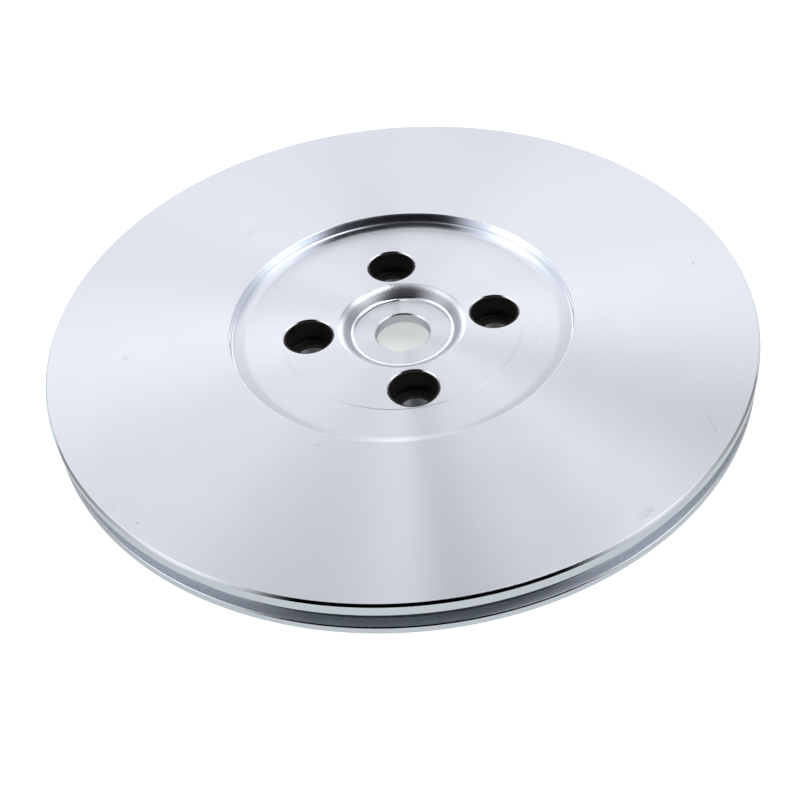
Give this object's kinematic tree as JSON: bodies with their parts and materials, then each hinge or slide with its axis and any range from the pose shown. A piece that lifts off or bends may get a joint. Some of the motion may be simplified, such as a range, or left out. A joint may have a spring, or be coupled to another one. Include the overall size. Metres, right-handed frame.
{
  "type": "supercharger back plate",
  "caption": "Turned aluminium back plate of a centrifugal supercharger, with a wheel pocket, shaft bush, lined screw holes and a rim seal groove.",
  "frame": {"origin": "centre of the rear boss face, which the plate stands on and is clamped by", "axes": "+Z along the shaft axis, from the gearbox side towards the compressor wheel; +X is 3 degrees clockwise of the first screw hole"},
  "size_m": [0.203, 0.203, 0.0158],
  "materials": {
    "turned_aluminium": "fine turned, bright",
    "ground_steel": "ground, bright",
    "seal_rubber": "moulded, satin black",
    "spring_steel": "phosphated spring steel",
    "blacked_steel": "black oxide"
  },
  "bodies": {
    "root": {"back_plate": "turned_aluminium", "shaft_bush": "ground_steel", "bush_seal_ring": "seal_rubber", "bush_retaining_ring": "spring_steel", "screw_cup_1": "blacked_steel", "screw_cup_2": "blacked_steel", "screw_cup_3": "blacked_steel", "screw_cup_4": "blacked_steel"}
  },
  "joints": []
}
